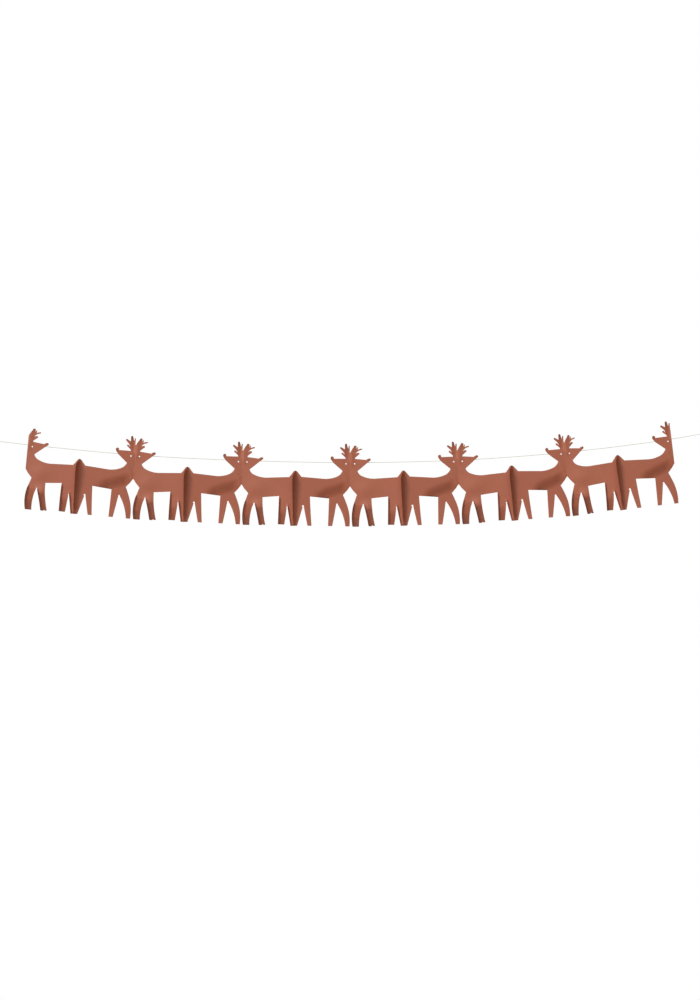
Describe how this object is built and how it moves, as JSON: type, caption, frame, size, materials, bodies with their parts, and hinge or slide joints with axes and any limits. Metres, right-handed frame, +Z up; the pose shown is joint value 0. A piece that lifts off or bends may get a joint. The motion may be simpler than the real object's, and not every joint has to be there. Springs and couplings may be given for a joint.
{
  "type": "paper garland",
  "caption": "Paper chain garland of die-cut reindeer sheets, glued in a zigzag rump to rump and head to head, threaded on a thin cord with a tied hanging loop at each end.",
  "frame": {"origin": "the point of the left loop that bears on its hook", "axes": "+X to the viewer's right along the garland, +Y away from the viewer, +Z up"},
  "size_m": [2.0025, 0.0403, 0.293],
  "materials": {
    "card": "brown printed card, slight sheen",
    "cord": "pale twisted cord"
  },
  "bodies": {
    "root": {"reindeer_01": "card", "reindeer_02": "card", "reindeer_03": "card", "reindeer_04": "card", "reindeer_05": "card", "reindeer_06": "card", "reindeer_07": "card", "reindeer_08": "card", "reindeer_09": "card", "reindeer_10": "card", "reindeer_11": "card", "reindeer_12": "card", "hanging_cord": "cord", "left_loop": "cord", "right_loop": "cord"}
  },
  "joints": []
}
